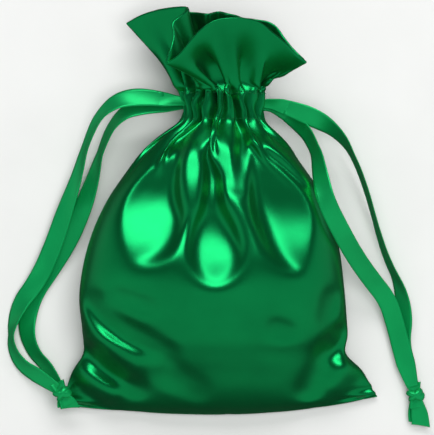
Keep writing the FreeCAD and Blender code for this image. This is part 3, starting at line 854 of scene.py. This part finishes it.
def make_knot(name, centre, angle, material):
    """An overhand knot: crossed wraps of ribbon round a pinched core, joined into one piece."""
    middle, along, _, _ = knot_frame(centre, angle)
    points = np.array([middle + along * t for t in np.linspace(*KNOT_CORE_REACH, 24)]) * MM
    core = strip_object(name + "_core", points, [(0, 10), (1, -10)], KNOT_CORE_WIDTHS, material,
                        [(0, KNOT_CORE_THICKNESS)], cup=0.5)
    wraps = [wrap_object(name + which, centre, angle, *shape, material) for which, *shape in KNOT_WRAPS]
    return joined(name, [core, *wraps])


def joined(name, pieces):
    """Several mesh objects as one."""
    with bpy.context.temp_override(active_object=pieces[0], object=pieces[0],
                                   selected_objects=pieces, selected_editable_objects=pieces):
        bpy.ops.object.join()
    pieces[0].name = name
    pieces[0].data.name = name
    return pieces[0]


def make_tail(name, centre, angle, length, height, turn, sway, material):
    """A cut ribbon end running out of its knot, with a slanted cut."""
    middle, along, across, up = knot_frame(centre, angle)
    t = np.linspace(TAIL_ROOT, KNOT_EDGE + length, TAIL_SECTIONS)
    aside = np.sin(np.linspace(0, 2.4, TAIL_SECTIONS)) * sway
    points = np.array([middle + along * a + across * s + up * height * (1 - 0.3 * a / t[-1])
                       for a, s in zip(t, aside)])
    points[:, 2] = np.maximum(points[:, 2] - (t - TAIL_ROOT) * TAIL_DROOP, TAIL_CLEARANCE)
    tail = strip_object(name, points * MM, [(0, turn), (1, turn * 0.4)], TAIL_WIDTHS, material, cup=TAIL_CUP)
    cut_slant(tail, middle * MM, along, across, (t[-1] - CUT_LENGTH) * MM)
    return tail


def cut_slant(tail, middle, along, across, start):
    """Pulls one corner of a ribbon's end back, as scissors held aslant leave it."""
    for vertex in tail.data.vertices:
        place = np.array(vertex.co)
        far = (place - middle) @ along
        if far > start:
            side = (place - middle) @ across / (RIBBON_WIDTH / 2 * MM)
            vertex.co = Vector(place - along * (far - start) * (CUT_BACK - CUT_SLANT * side))


def make_exit(name, inside, strand, turn, material):
    """The bunched ribbon from inside the neck out to its strand, ending inside the strand's first millimetre.

    strand is the strand's line in metres, and turn is how the strand lies there.
    """
    first, tip = strand[0] / MM, strand[2] / MM
    overlap = tip - first
    back = first - overlap * EXIT_LEAD
    start = np.array([*inside, first[2]])
    points = route_points([start, (start + back) / 2, back, tip])
    turns = [(0, 20), (0.7, 30), (0.9, turn), (1, turn)]
    return strip_object(name, points, turns, EXIT_WIDTHS, material, EXIT_THICKNESSES)


def make_ribbons(side, material, routes, turns, knot_centre, knot_angle, tail_length, exit_start):
    """One drawstring outside the sack: two exits, two strands, a knot and two tails."""
    pull, loop = side + "_pull", side + "_loop"
    ends = {"_knot": make_knot(side + "_knot_wraps", knot_centre, knot_angle, material)}
    for which, shorter, *shape in TAILS:
        node = "_" + which + "_tail"
        ends[node] = make_tail(side + node + "_ribbon", knot_centre, knot_angle, tail_length - shorter, *shape,
                               material)
    for node, piece in ends.items():
        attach(piece, loop)
        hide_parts(side + node)
    for which, route, turn in zip(("outer", "inner"), routes, turns):
        name = side + "_" + which
        strand, points = make_strand(name + "_strand", route, turn, material)
        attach(strand, loop)
        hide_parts(name + "_ribbon")
        length = float(run_along(points)[-1])
        tuple(points[0])
        [tuple(p) for p in points]
        leaving = make_exit(name + "_exit_ribbon", exit_start, points, turn[0][1], material)
        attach(leaving, pull)
        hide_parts(name + "_ribbon_exit")


def grid_faces(rows, columns):
    """Quads of a grid of points, facing outwards when the columns run clockwise seen from the neck."""
    faces = []
    for i in range(rows - 1):
        for j in range(columns - 1):
            a = i * columns + j
            faces.append((a, a + 1, a + columns + 1, a + columns))
    return faces


def make_panel(name, cloth, first, material):
    """One cloth panel with its casing and frill: columns of the cloth from one side seam to the other."""
    columns = (first + np.arange(PANEL_COLUMNS + 1)) % COLUMNS
    points = cloth[:, columns].reshape(-1, 3) * MM
    across, length = np.meshgrid(np.linspace(0, PANEL_WIDTH, PANEL_COLUMNS + 1), ROW_LENGTHS)
    uvs = np.stack([across.ravel(), length.ravel()], axis=1) * MM
    panel = mesh_object(name, points, grid_faces(ROWS, PANEL_COLUMNS + 1), material, uvs, smooth=True)
    wall = np.interp(length.ravel(), *zip(*WALLS))
    group = panel.vertex_groups.new(name="wall")
    for value in np.unique(wall):
        group.add([int(i) for i in np.where(wall == value)[0]], float(value / CASING_WALL), "REPLACE")
    thicken = panel.modifiers.new("wall", "SOLIDIFY")
    thicken.thickness = CASING_WALL * MM
    thicken.offset = -1.0
    thicken.vertex_group = "wall"
    fine = panel.modifiers.new("fine", "SUBSURF")
    fine.levels = fine.render_levels = 1
    return panel


def make_stitches(name, cloth, length, material):
    """A row of running stitches round the cloth at a length from the bottom seam."""
    row = length / CLOTH_LENGTH * (ROWS - 1)
    low = int(row)
    line = cloth[low] * (1 - (row - low)) + cloth[low + 1] * (row - low)
    normals = cloth_normals(cloth)[low]
    along, lift, radius = np.array(STITCH).T
    side = np.array([0.0, 1.0, 0.0])
    points = []
    faces = []
    for start in np.arange(0, COLUMNS, STITCH_PITCH):
        at = (start + along) % COLUMNS
        k = at.astype(int)
        part = (at - k)[:, None]
        away = normals[k]
        middle = line[k] * (1 - part) + line[(k + 1) % COLUMNS] * part + away * lift[:, None]
        base = len(points)
        last = base + (len(STITCH) - 1) * STITCH_CORNERS
        for place, out, size in zip(middle, away, radius):
            for c in range(STITCH_CORNERS):
                a = 2 * math.pi * c / STITCH_CORNERS
                points.append((place + out * (math.sin(a) * size) + side * (math.cos(a) * size)) * MM)
        for ring in range(base, last, STITCH_CORNERS):
            above = ring + STITCH_CORNERS
            for c in range(STITCH_CORNERS):
                n = (c + 1) % STITCH_CORNERS
                faces.append((ring + c, ring + n, above + n, above + c))
        faces.append(tuple(base + c for c in reversed(range(STITCH_CORNERS))))
        faces.append(tuple(last + c for c in range(STITCH_CORNERS)))
    return mesh_object(name, points, faces, material, smooth=True)


def make_band(name, inner, outer, thickness, material):
    """A flat band of cloth between two lines of points in millimetres, with thickness in z."""
    wave = np.sin(np.arange(len(inner)) * 1.9) * 0.12
    rings = []
    uvs = []
    for line, height in ((inner, 0.5), (outer, 0.5), (outer, -0.5), (inner, -0.5)):
        raised = line + np.array([0.0, 0.0, 1.0]) * (height * thickness + wave)[:, None]
        rings.append(raised * MM)
        uvs.append(np.stack([line[:, 0], line[:, 1]], axis=1) * MM)
    return tube_object(name, np.array(rings), np.array(uvs), material)


def make_seams(cloth, material):
    """The cut edges folded inside the two sides and the bottom."""
    rows = slice(5, BELLY_ROWS - 6)
    pieces = {}
    for side, column, inward in (("left", 0, 1.0), ("right", PANEL_COLUMNS, -1.0)):
        line = cloth[rows, column]
        start, end = [line + np.array([reach * inward, 0.0, 0.0]) for reach in SIDE_ALLOWANCE]
        name = side + "_seam_allowance"
        pieces[side + "_side_seam"] = make_band(name, start, end, ALLOWANCE_THICKNESS, material)
    line = cloth[0, 4:PANEL_COLUMNS - 3]
    start, end = [line + np.array(reach) for reach in BOTTOM_ALLOWANCE]
    pieces["bottom_seam"] = make_band("bottom_seam_allowance", start, end, ALLOWANCE_THICKNESS, material)
    for node, piece in pieces.items():
        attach(piece, "sack")
        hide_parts(node)


def make_hidden_ribbon(side, cloth, length, open_column, material):
    """The ribbon inside the casing, gathered with the cloth round it and open at its own side slit."""
    row = int(round(length / CLOTH_LENGTH * (ROWS - 1)))
    columns = (open_column + HIDDEN_GAP + np.arange(COLUMNS - 2 * HIDDEN_GAP)) % COLUMNS
    line = cloth[row, columns]
    normals = cloth_normals(cloth)[row, columns]
    outer, inner = HIDDEN_DEPTHS
    wide = HIDDEN_HALF_WIDTH
    rings = []
    uvs = []
    for shift, depth in ((-wide, outer), (wide, outer), (wide, inner), (-wide, inner)):
        rings.append((line + np.array([0.0, shift, 0.0]) - normals * depth) * MM)
        uvs.append(np.stack([np.full(len(columns), shift), np.arange(len(columns))], axis=1) * MM)
    piece = tube_object(side + "_casing_ribbon", np.array(rings), np.array(uvs), material)
    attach(piece, "sack")
    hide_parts(side + "_ribbon_in_casing")


def make_sack(satin, ribbon, thread):
    """The sack itself: two panels, two rows of stitches, three seams and the ribbons inside the casing."""
    cloth = shape_cloth()
    for name, first in (("front", 0), ("back", PANEL_COLUMNS)):
        panel = make_panel("sack_" + name, cloth, first, satin)
        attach(panel, "sack")
        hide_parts(name + "_panel", name + "_casing", name + "_frill")
    upper_row = BELLY_LENGTH + CASING_LENGTH - STITCH_INSET
    for name, length in (("upper", upper_row), ("lower", BELLY_LENGTH + STITCH_INSET)):
        row = make_stitches(name + "_running_stitches", cloth, length, thread)
        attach(row, "sack")
        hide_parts(name + "_casing_stitches")
    make_seams(cloth, thread)
    make_hidden_ribbon("left", cloth, LEFT_HIDDEN_LENGTH, 0, ribbon)
    make_hidden_ribbon("right", cloth, RIGHT_HIDDEN_LENGTH, PANEL_COLUMNS, ribbon)


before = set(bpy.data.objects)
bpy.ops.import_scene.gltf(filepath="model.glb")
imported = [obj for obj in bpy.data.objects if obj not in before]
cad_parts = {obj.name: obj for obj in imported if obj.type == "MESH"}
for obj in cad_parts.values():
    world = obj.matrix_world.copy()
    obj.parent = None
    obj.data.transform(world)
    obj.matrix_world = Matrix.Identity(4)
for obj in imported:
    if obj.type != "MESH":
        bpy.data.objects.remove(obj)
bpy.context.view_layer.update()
make_camera()
satin = satin_material("satin_cloth_green", CLOTH_COLOURS, CLOTH_METALLIC, CLOTH_ROUGHNESS)
ribbon_satin = satin_material("satin_ribbon_green", RIBBON_COLOURS, RIBBON_METALLIC, RIBBON_ROUGHNESS)
thread = thread_material("green_thread", THREAD_COLOUR)
make_ribbons("left", ribbon_satin, (LEFT_OUTER_ROUTE, LEFT_INNER_ROUTE), (LEFT_OUTER_TURN, LEFT_INNER_TURN),
             LEFT_KNOT, LEFT_KNOT_ANGLE, LEFT_TAIL_LENGTH, LEFT_EXIT_START)
make_ribbons("right", ribbon_satin, (RIGHT_OUTER_ROUTE, RIGHT_INNER_ROUTE),
             (RIGHT_OUTER_TURN, RIGHT_INNER_TURN), RIGHT_KNOT, RIGHT_KNOT_ANGLE, RIGHT_TAIL_LENGTH,
             RIGHT_EXIT_START)
make_sack(satin, ribbon_satin, thread)
make_studio()
